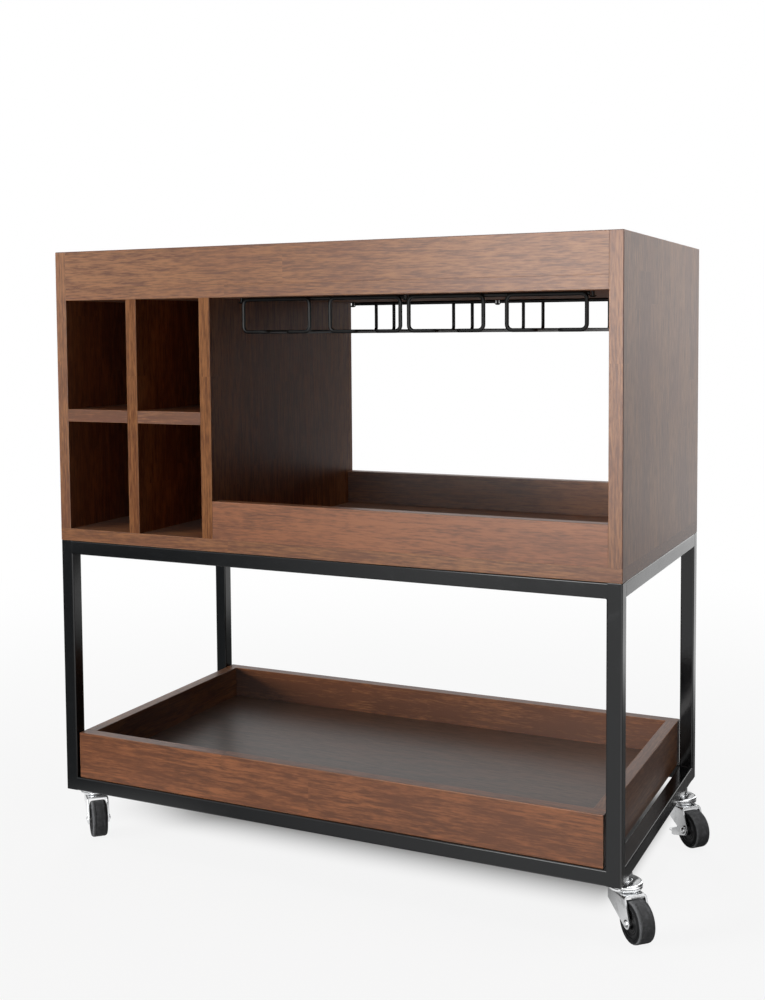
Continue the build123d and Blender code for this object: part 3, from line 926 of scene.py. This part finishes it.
bar_rows = (front + 2 * WIRE_RADIUS, back)
bars = []
for first in (1, 3):
    start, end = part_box(f"rack_wire_{first}")[0][0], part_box(f"rack_wire_{first + 1}")[1][0]
    for row in bar_rows:
        place = ((start + end) / 2, row, bar)
        bars.append(break_ends(rod("cross_bar", BAR_SIDES, WIRE_RADIUS, end - start, place, LYING_ALONG_X)))
complete(merged("rack_cross_bars_piece", bars), wire_black, "black_wire", "trolley", "rack_cross_bars")
print("cross bars:", len(bars))

# %% [markdown]
# The racks hang on black pan-head screws beside the ends of the bars, with heads that reach under them. The
# two in the middle hold both pairs at once. The screw is turned from its profile, because a plain rod would
# lack the round head, and a cross is cut into the head with two crossed blocks.

# %% Rack screws
HEAD_TOP, HEAD_RADIUS = -5.0, 4.5
CROSS_LONG, CROSS_SHORT = 2.4, 0.45
pan_head = turned("screw", [
    (12, 0), (8.5, 2), (HEAD_TOP, 2), (HEAD_TOP, HEAD_RADIUS), (HEAD_TOP - 0.7, 4.4, 0.5),
    (HEAD_TOP - 2.3, 2.6, 0.8), (HEAD_TOP - 2.6, 0),
], steps=32)
for half_x, half_y in ((CROSS_LONG, CROSS_SHORT), (CROSS_SHORT, CROSS_LONG)):
    low = Vector((-half_x, -half_y, HEAD_TOP - 4)) * MM
    high = Vector((half_x, half_y, HEAD_TOP - 1.2)) * MM
    carve(pan_head, block("cross_tool", low, high))
screw_low, screw_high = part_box("rack_screws")
screw_left, screw_right = screw_low[0] + HEAD_RADIUS * MM, screw_high[0] - HEAD_RADIUS * MM
rack_screws = [
    copied(pan_head, "screw_copy", Matrix.Translation((x, row, bar + WIRE_RADIUS)))
    for x in (screw_left, (screw_left + screw_right) / 2, screw_right) for row in bar_rows
]
bpy.data.objects.remove(pan_head)
complete(merged("rack_screws_piece", rack_screws), wire_black, "black_wire", "trolley", "rack_screws")
print("rack screws:", len(rack_screws))

# %% [markdown]
# ## Casters
# All four casters are the same, so every piece is modelled once about its own stem, with the underside of
# the frame at zero and the wheel trailing towards -Y, and is then copied to its corner. The joints of the
# frame say where each stem is and which way its axle points. The sizes of these pieces are in millimetres.

# %% Where the casters are
joint_of = {joint["name"]: joint for joint in frame["record"]["behaviour"]["joints"]}
front_corners, back_corners = [[f"{end}_{side}" for side in ("left", "right")] for end in ("front", "back")]
corners = front_corners + back_corners
caster_place = {}
for corner in corners:
    axle_way = joint_of[f"{corner}_wheel_roll"]["axis"]
    turn = Vector((1, 0)).angle_signed(Vector(axle_way[:2]))
    stem_top = Matrix.Translation(joint_of[f"{corner}_swivel_turn"]["pos_m"])
    caster_place[corner] = stem_top @ Matrix.Rotation(-turn, 4, "Z")
stem_at = Vector(joint_of["front_right_swivel_turn"]["pos_m"])
hub_at = Vector(joint_of["front_right_wheel_roll"]["pos_m"])
TRAIL, AXLE_LEVEL = (hub_at - stem_at).xy.length / MM, (hub_at - stem_at).z / MM
HUB = Vector((0, -TRAIL, AXLE_LEVEL)) * MM
wheel_centre = Matrix.Translation(HUB)
print({corner: [round(c, 3) for c in place.to_translation()] for corner, place in caster_place.items()})


def on_corners(master, name, material, slot, body, node, chosen=corners):
    """Copy a caster piece to its corners, each copy standing for the solid there."""
    for corner in chosen:
        piece = copied(master, name.format(corner), caster_place[corner])
        complete(piece, material, slot, body.format(corner), node.format(corner))
    bpy.data.objects.remove(master)


def on_frame(master, name, material, slot, node):
    """Copy a fixed caster piece to all corners and join the copies for their one solid."""
    copies = [copied(master, f"{name}_{corner}", caster_place[corner]) for corner in corners]
    bpy.data.objects.remove(master)
    complete(merged(name, copies), material, slot, "trolley", node)


# %% [markdown]
# The stem, the upper cup of the ball race and the kingpin are turned in one go from half their outline.
# The pressed cup has soft shoulders, so those corners of the outline are rounded first.

# %% Stems
CUP, CUP_INSIDE = 21.5, 19.6
stem = turned("stem", [
    (11, 0), (11, 4.2), (10.2, 5), (-8, 5), (-8, 9), (-9.5, 9, 0.5), (-10.5, CUP - 1.6, 1.6),
    (-12.1, CUP, 1.2), (-14.5, CUP, 0.4), (-14.5, CUP_INSIDE, 0.4), (-12.65, CUP_INSIDE), (-12.65, 4),
    (-21.75, 4), (-21.75, 6.5, 0.2), (-23.4, 6.2, 0.8), (-24.75, 3.6, 0.8), (-24.75, 0),
])
on_frame(stem, "caster_stems_piece", caster_bright, "bright_plating", "caster_stems")
print("stems on", len(corners), "corners")

# %% [markdown]
# A hexagon nut is cut from a bar with six sides, and its corners are turned off at both ends. So a rod
# with six sides keeps only what lies inside a turned form, which leaves the curved edges that every real
# nut has.

# %% Lock nuts
NUT_ACROSS, NUT_HEIGHT, NUT_BORE = 16, 8, 5.05
NUT_FLAT, NUT_FALL, NUT_FORM = NUT_ACROSS * 0.475, NUT_ACROSS * 0.072, NUT_ACROSS * 0.6
nut_middle = (0, 0, NUT_HEIGHT / 2 * MM)
lock_nut = rod("lock_nut", 6, NUT_ACROSS / 3 ** 0.5 * MM, NUT_HEIGHT * MM, nut_middle)
form = turned("nut_form", [
    (0, 0), (0, NUT_FLAT), (NUT_FALL, NUT_FORM), (NUT_HEIGHT - NUT_FALL, NUT_FORM), (NUT_HEIGHT, NUT_FLAT),
    (NUT_HEIGHT, 0),
])
carve(lock_nut, form, "INTERSECT")
carve(lock_nut, rod("nut_bore", 32, NUT_BORE * MM, 3 * NUT_HEIGHT * MM, nut_middle))
print("lock nut faces:", len(lock_nut.data.polygons))
lock_nut = moved(lock_nut, Matrix.Translation((0, 0, -NUT_HEIGHT * MM)))
on_frame(lock_nut, "caster_lock_nuts_piece", caster_bright, "bright_plating", "caster_lock_nuts")

# %% [markdown]
# The fork and the brake lever are both bent from a strip of sheet. Such a strip is drawn as a line with
# rounded corners, extruded sideways and given the sheet's thickness. Its outline is then the tight wrapping
# round a few simple pieces, and the strip keeps what lies inside.

# %% Bent sheet
SHEET_STEPS = 6


def hull_of(name, *pieces):
    """The tight wrapping round some pieces."""
    wrap = merged(name, pieces)
    pick(wrap, "VERT")
    bpy.ops.mesh.convex_hull()
    begin()
    return wrap


def bent_sheet(name, points, bent_corners, radius, sheet, way):
    """A line bent at some corners, extruded one way and given the thickness of a sheet."""
    strip = chain(name, [Vector(p) * MM for p in points])
    for corner in bent_corners:
        round_corner(strip, Vector(points[corner]) * MM, radius * MM, SHEET_STEPS)
    pick(strip, "EDGE")
    bpy.ops.mesh.extrude_region_move(TRANSFORM_OT_translate={"value": Vector(way) * MM})
    bpy.ops.mesh.select_all(action="SELECT")
    bpy.ops.mesh.normals_make_consistent(inside=False)
    modify(strip, "SOLIDIFY", thickness=sheet * MM, offset=0, use_even_offset=True)
    return strip


def break_edges(piece, width, angle=40):
    """Take the sharpness off all edges that turn by more than an angle."""
    modify(piece, "BEVEL", width=width * MM, segments=2, limit_method="ANGLE", angle_limit=radians(angle))


def across_hub(name, sides, radius, length):
    """A rod along the axle, for an eye or a bore."""
    return rod(name, sides, radius * MM, length * MM, HUB, LYING_ALONG_X)


# %% [markdown]
# The fork is bent down on both sides of the wheel, with arms that run back to a round eye at the axle. Its
# outline is wrapped round that eye and a block at the shoulder. The lower cup of the ball race is turned
# and set on top.

# %% Forks
SHEET, BEND = 2.5, 4.0
ARM_OUTSIDE, ARM_EYE, FORK_TOP = 15.0, 7, -18.95
SHOULDER_NEAR, SHOULDER_FAR, SHOULDER_TALL = -25, 14, 16
AXLE_BORE, KINGPIN_BORE = 3.05, 4.05
PAST_ARMS = 20

# The strip starts larger than the outline that is cut from it.
STRIP_FAR, STRIP_FOOT, STRIP_WIDE = 20, -60, 60
arm, top = ARM_OUTSIDE - SHEET / 2, FORK_TOP - SHEET / 2
left_arm = [(-arm, STRIP_FAR, STRIP_FOOT), (-arm, STRIP_FAR, top)]
right_arm = [(arm, STRIP_FAR, top), (arm, STRIP_FAR, STRIP_FOOT)]
fork = bent_sheet("fork", left_arm + right_arm, (1, 2), BEND - SHEET / 2, SHEET, (0, -STRIP_WIDE, 0))
shoulder = block(
    "shoulder", Vector((-PAST_ARMS, SHOULDER_NEAR, FORK_TOP - SHOULDER_TALL)) * MM,
    Vector((PAST_ARMS, SHOULDER_FAR, FORK_TOP)) * MM,
)
eye = across_hub("eye", 48, ARM_EYE, 2 * PAST_ARMS)
carve(fork, hull_of("fork_outline", eye, shoulder), "INTERSECT")
carve(fork, across_hub("axle_bore", 32, AXLE_BORE, 2 * PAST_ARMS))
carve(fork, rod("kingpin_bore", 32, KINGPIN_BORE * MM, 8 * MM, Vector((0, 0, FORK_TOP - 1)) * MM))
break_edges(fork, 0.4)
cup = turned("lower_cup", [
    (FORK_TOP, KINGPIN_BORE), (FORK_TOP, CUP - 1.6, 1.2), (-17.35, CUP, 0.8), (-15.1, CUP, 0.4),
    (-15.1, CUP_INSIDE, 0.4), (-16.95, CUP_INSIDE, 0.5), (-16.95, KINGPIN_BORE), (FORK_TOP, KINGPIN_BORE),
])
fork = merged("fork_with_cup", [fork, cup])
print("fork faces:", len(fork.data.polygons))
on_corners(fork, "{}_fork_piece", caster_bright, "bright_plating", "{}_swivel", "{}_fork")

# %% [markdown]
# The axle is a pin whose ends are riveted over into low round heads. It is turned from half its outline and
# the mirror image of that. On the back casters it is longer, because it also carries the ears of the brake
# lever.

# %% Axles
EAR_INSIDE, LEVER_SHEET, LEVER_GAP = 15.35, 1.8, 0.35
EAR_OUTSIDE = EAR_INSIDE + LEVER_SHEET


def mirrored(half):
    """A profile, followed by its mirror image across the middle of the wheel."""
    return half + [(-point[0], *point[1:]) for point in reversed(half)]


for grip, chosen in ((ARM_OUTSIDE, front_corners), (EAR_OUTSIDE + LEVER_GAP, back_corners)):
    axle = moved(turned("axle", mirrored([
        (grip + 2.2, 0), (grip + 2.0, 2.2, 0.8), (grip + 1.0, 4.0, 0.6), (grip, 4.5, 0.2), (grip, 3),
    ]), "X"), wheel_centre)
    on_corners(axle, "{}_axle_piece", caster_bright, "bright_plating", "{}_swivel", "{}_axle", chosen)
print("axles on", len(corners), "corners")

# %% [markdown]
# The wheel is a moulded core with a hub, a closed web with two raised rings, and a rim. It is turned about
# the axle from half its section, as the mould that it comes from would be.

# %% Wheel cores
core_half = [
    (12, AXLE_BORE), (12, 6.5, 0.6), (9, 7.2, 0.8),
    (9, 9.2, 0.2), (9.5, 9.5, 0.2), (9.5, 10.1, 0.2), (9, 10.4, 0.2),
    (9, 12.0, 0.2), (9.5, 12.3, 0.2), (9.5, 12.9, 0.2), (9, 13.2, 0.2),
    (9, 14.5, 0.4), (10, 14.5, 0.3), (10, 17),
]
core = moved(turned("core", mirrored(core_half) + [core_half[0]], "X"), wheel_centre)
print("core faces:", len(core.data.polygons))
on_corners(core, "{}_wheel_core_piece", core_plastic, "core_plastic", "{}_wheel", "{}_wheel_core")

# %% [markdown]
# Round the core lies a rubber tyre with round shoulders and a moulded groove in each side. It is turned
# with more steps than the rest, because it is the roundest thing in the picture. An attribute marks the
# tread, where rolling has rubbed the rubber grey.

# %% Tyres
TYRE, TREAD_FROM, TYRE_STEPS = 24.98, 23.6, 72
tyre_half = [
    (10.5, 17), (11, 17, 0.4), (11, 19.5, 0.3), (10, 20.5, 0.3), (11, 21.5, 0.3), (11, TYRE, 4.0),
    (5.2, TYRE), (4.6, 24.75), (4.0, TYRE),
]
tyre = turned("tyre", mirrored(tyre_half) + [tyre_half[0]], "X", TYRE_STEPS)
tread = tyre.data.attributes.new("tread", "FLOAT", "POINT")
for vertex in tyre.data.vertices:
    tread.data[vertex.index].value = float(vertex.co.yz.length > TREAD_FROM * MM)
print("tyre faces:", len(tyre.data.polygons))
on_corners(
    moved(tyre, wheel_centre), "{}_tyre_piece", tyre_rubber, "tyre_rubber", "{}_wheel", "{}_tyre"
)

# %% [markdown]
# The brake lever is a second bent sheet: two ears on the axle, a web behind the tread and a pedal. The ears
# and the web are made like the fork, and their outline is wrapped round the eye and the web.

# %% Brake levers: ears and web
WHEEL_RADIUS, WEB_GAP = 25, 1.5
WEB_FAR, WEB_DEEP, WEB_TALL = -TRAIL + WHEEL_RADIUS + WEB_GAP + LEVER_SHEET, 6, 7.5
PEDAL_BOTTOM = AXLE_LEVEL - 14
LEVER_BEND, LEVER_EYE = 2.0, 6.5
LEVER_NEAR, LEVER_FOOT, LEVER_TALL = -40, -75, 50
ear, web = EAR_OUTSIDE - LEVER_SHEET / 2, WEB_FAR - LEVER_SHEET / 2
left_ear = [(-ear, LEVER_NEAR, LEVER_FOOT), (-ear, web, LEVER_FOOT)]
right_ear = [(ear, web, LEVER_FOOT), (ear, LEVER_NEAR, LEVER_FOOT)]
lever = bent_sheet("lever", left_ear + right_ear, (1, 2), LEVER_BEND, LEVER_SHEET, (0, 0, LEVER_TALL))
lever_eye = across_hub("lever_eye", 48, LEVER_EYE, 2 * PAST_ARMS)
lever_web = block(
    "lever_web", Vector((-PAST_ARMS, WEB_FAR - WEB_DEEP, PEDAL_BOTTOM)) * MM,
    Vector((PAST_ARMS, WEB_FAR, PEDAL_BOTTOM + WEB_TALL)) * MM,
)
carve(lever, hull_of("lever_outline", lever_eye, lever_web), "INTERSECT")
carve(lever, across_hub("lever_bore", 32, AXLE_BORE, 50))
break_edges(lever, 0.3)
print("ears and web:", len(lever.data.polygons), "faces")

# %% [markdown]
# The pedal is a block with its far corners rounded and three ridges pressed into it for the sole of a shoe.
# The ridges are rods sunk a little past their middle, which is quicker than denting the sheet and looks
# the same from above.

# %% Brake levers: pedal
PEDAL_LENGTH, PEDAL_HALF, PEDAL_ROUND = 16.0, 12.0, 4.0
RIDGE_RADIUS, RIDGE_LENGTH, RIDGE_SUNK = 0.7, 15, 0.2
pedal_near, pedal_far = WEB_FAR - LEVER_SHEET, WEB_FAR - LEVER_SHEET + PEDAL_LENGTH
pedal_top = PEDAL_BOTTOM + LEVER_SHEET
pedal = block(
    "pedal", Vector((-PEDAL_HALF, pedal_near, PEDAL_BOTTOM)) * MM,
    Vector((PEDAL_HALF, pedal_far, pedal_top)) * MM,
)
pick(pedal, "EDGE", lambda points: along(Z)(points) and points[0].y > (pedal_far - 1) * MM)
bpy.ops.mesh.bevel(offset=PEDAL_ROUND * MM, segments=6, affect="EDGES")
break_edges(pedal, 0.35, 50)
ridges = []
for from_end in (9, 6.5, 4):
    place = Vector((0, pedal_far - from_end, pedal_top - RIDGE_SUNK)) * MM
    ridge = rod("ridge", 12, RIDGE_RADIUS * MM, RIDGE_LENGTH * MM, place, LYING_ALONG_X)
    ridges.append(break_ends(ridge))
lever = merged("lever_with_pedal", [lever, pedal, *ridges])
print("lever faces:", len(lever.data.polygons))
on_corners(
    lever, "{}_brake_lever_piece", caster_bright, "bright_plating", "{}_brake", "{}_brake_lever", back_corners
)

# %% [markdown]
# ## What stays hidden
# The dowels, the balls, the welded nuts and the screws inside the rails are only seen when the trolley is
# taken apart. Their solids have the right shape already and get their finishes.

# %% Finishes on the hidden solids
hidden = {
    "case_dowels": dowel_wood, "caster_race_balls": screw_zinc, "caster_weld_nuts": screw_zinc,
    "case_screws": screw_zinc, "tray_screws": screw_zinc,
}
for node, material in hidden.items():
    solid = frame["nodes"][node]
    solid.data.materials.clear()
    solid.data.materials.append(material)
print("hidden solids:", len(hidden))

# %% [markdown]
# ## Floor and light
# The trolley stands on a plain pale floor before a white backdrop. The camera sees the floor as nearly
# white, with a trace of the trolley's shadow and a painted shadow right under it, where the camera sees
# the plain grey floor, while its grey underfoot keeps the undersides dark. More light on a white floor would
# do the same to the eye, but it would also bleach the trolley.

# %% Floor
FLOOR_SIZE = 60.0
UNDERFOOT, SEEN_PALER = 0.25, 0.55
SHADOW_KEPT = 0.12
painted_shadow_under_trolley = {"x": ((-0.46, -0.26), (0.372, 0.334)), "y": ((-0.13, 0.0), (0.40, 0.26))}
begin()
bpy.ops.mesh.primitive_plane_add(size=FLOOR_SIZE)
floor = bpy.context.object
floor.name = "studio_floor"
pale = Finish("studio_floor", Roughness=0.9)
floor_x, floor_y, _ = pale.axes()
# Painted shadow: in a soft patch right under the trolley the camera sees the plain grey floor, neither white
# nor paler.
under = pale.between(floor_x, *painted_shadow_under_trolley["x"]) * pale.between(floor_y, *painted_shadow_under_trolley["y"])
outside_painted_shadow = 1 - under
seen = pale.ray("Is Camera Ray")
tint = UNDERFOOT + seen * outside_painted_shadow * SEEN_PALER
pale.feed(pale.shader.inputs["Base Color"], pale.joined(tint, tint, tint))
away = pale.ease(pale.maths("SQRT", floor_x * floor_x + floor_y * floor_y), 0.5, 2.2)
whiteness = (1 - SHADOW_KEPT) + away * SHADOW_KEPT
viewed = (seen + pale.ray("Is Transmission Ray")) * whiteness * outside_painted_shadow
print("floor", FLOOR_SIZE, "m across")

# %% [markdown]
# In mirrored rays the floor is pale as well, but not everywhere: round the casters, to the right of the
# front right one, in front towards the right, and in a strip behind the right side. Under the trolley and
# elsewhere it stays dark, and so the paint and the varnish stay deep. A card in each of these places would
# be seen by the camera, so the floor itself is drawn bright there.

# %% Where the floor is bright in mirrored rays
CASTER_X, CASTER_Y = 0.38, 0.19
NEAR_CASTERS, FRONT_RIGHT, STRIP = 0.6, 0.54, 0.68
FRONT_FROM, FRONT_SLANT = 0.2, 0.54
STRIP_POINT = 1.62
beside_x = pale.maths("ABSOLUTE", floor_x) - CASTER_X
beside_y = pale.maths("ABSOLUTE", floor_y) - CASTER_Y
from_caster = pale.maths("SQRT", beside_x * beside_x + beside_y * beside_y)
outside = pale.maths("MAXIMUM", pale.ease(beside_x, -0.10, 0.02), pale.ease(beside_y, -0.10, 0.02))
near_casters = outside * pale.ease(from_caster, 0.30, 0.12) * pale.ease(floor_x, 0.40, 0.34) * NEAR_CASTERS
right_of_caster = pale.ease(floor_x, 0.42, 0.48) * pale.ease(floor_y, -0.05, -0.12)
front_place = floor_x - (floor_y + FRONT_FROM) * FRONT_SLANT
front_right = pale.ease(front_place, -0.6, 0.5) * pale.ease(floor_y, -0.20, -0.35) * FRONT_RIGHT
strip = pale.ease(floor_x, 0.1, 0.3) * pale.ease(floor_x / (floor_y + STRIP_POINT), 0.33, 0.28)
far_brighter = STRIP + pale.ease(floor_y, 2.6, 3.4) * (1 - STRIP)
behind_right = strip * pale.ease(floor_y, 0.6, 1.2) * far_brighter
bright_patches = [near_casters, right_of_caster, front_right, behind_right]
brightest = bright_patches[0]
for patch in bright_patches[1:]:
    brightest = pale.maths("MAXIMUM", brightest, patch)
print("bright patches of floor:", len(bright_patches))

# %% [markdown]
# The floor's material mixes its plain grey with pure white, by the share that a camera ray or a mirrored
# ray should see.

# %% The floor's two faces
MIRRORED_WHITE = 1.5
WHITE = (1, 1, 1, 1)
mirrored_ray = pale.ray("Is Glossy Ray")
white_level = 1 + mirrored_ray * (MIRRORED_WHITE - 1)
white = pale.node("ShaderNodeEmission", {}, {"Color": WHITE, "Strength": white_level})
share = pale.maths("MINIMUM", viewed + mirrored_ray * brightest, 1.0)
shown = pale.node("ShaderNodeMixShader", {}, {0: share, 2: white})
plain_grey = Signal(pale, pale.shader.outputs["BSDF"])
pale.feed(shown.socket.node.inputs[1], plain_grey)
pale.feed(pale.nodes["Material Output"].inputs["Surface"], shown)
floor.data.materials.append(pale.material)
print("floor nodes:", len(pale.nodes))

# %% [markdown]
# The world gives a little light from all around, and white to the camera. In mirrored rays it is the room:
# bright in front, and behind the trolley a white panel that greys the varnish of the right side, and a
# bright wall higher up on the left that lies on the edges and the floor of the tray. Real panels would have
# to stand in the picture, and a world can hold them without being seen.

# %% World
AMBIENT = 0.017
DIM_BACKDROP = 0.04
IN_FRONT, WALL = 0.8, 0.9
PANEL, PANEL_WAY, PANEL_HALF, PANEL_FADE = 2.25, 0.20, 0.06, 0.14
world = bpy.data.worlds.new("studio")
bpy.context.scene.world = world
world.use_nodes = True
room = Network(world.node_tree)
way_x, way_y, way_z = room.split("Generated")
in_front = room.ease(0 - way_y, -0.1, 0.3) * IN_FRONT
behind = room.ease(way_y, 0.0, 0.3)
panel = behind * room.ease(room.maths("ABSOLUTE", way_x - PANEL_WAY), PANEL_FADE, PANEL_HALF) * PANEL
wall = behind * room.ease(way_x, 0.0, -0.2) * room.ease(way_z, 0.05, 0.18) * WALL
mirrored_room = DIM_BACKDROP + room.maths("MAXIMUM", in_front, panel + wall)
direct = room.maths("MINIMUM", room.ray("Is Camera Ray") + room.ray("Is Transmission Ray"), 1.0)
glossy = room.ray("Is Glossy Ray")
strength = direct + (1 - direct) * (glossy * mirrored_room + (1 - glossy) * AMBIENT)
backdrop = room.nodes["Background"]
room.feed(backdrop.inputs["Color"], WHITE)
room.feed(backdrop.inputs["Strength"], strength)
print("world nodes:", len(room.nodes))

# %% [markdown]
# The light of a large window comes in low from the front left, so that the case shades its own cubbies, its
# right side and most of the tray. A card stands in front, only for its blurred reflection: from the camera
# that lies on the right half of the front boards and gives the varnish its sheen. Weaker lamps light the
# top, the right side and the back.

# %% Lamps
def soft_box(name, place, target, width, height, watts, lights=True, shines=True):
    """A soft box at a place, turned towards a target: it lights surfaces, shines in glossy ones, or both."""
    begin()
    bpy.ops.object.light_add(type="AREA", location=place)
    lamp = bpy.context.object
    lamp.name = name
    lamp.data.shape = "RECTANGLE"
    lamp.data.size, lamp.data.size_y = width, height
    lamp.data.energy = watts
    lamp.visible_camera = False
    lamp.visible_diffuse = lights
    lamp.visible_glossy = shines
    lamp.rotation_euler = (Vector(target) - Vector(place)).to_track_quat("-Z", "Y").to_euler()


soft_box("window", (-6.6, -6.0, 1.25), (0, -0.2, 0.5), 3.5, 3.5, watts=1120, shines=False)
soft_box("ceiling_box", (0, 0, 3.5), (0, 0, 0), 2.0, 2.0, watts=28)
soft_box("side_box", (1.0, 0.15, 1.0), (0.4, 0, 0.6), 0.5, 0.5, watts=2.4)
soft_box("back_box", (-1.5, 2.8, 0.75), (0, 0.2, 0.6), 1.2, 1.2, watts=30, shines=False)
soft_box("sheen_card", (-0.10, -2.3, 1.05), (-0.10, 0, 1.05), 1.1, 1.5, watts=41, lights=False)
bpy.context.scene.view_settings.view_transform = "Standard"
print("lamps:", len(bpy.data.lights))
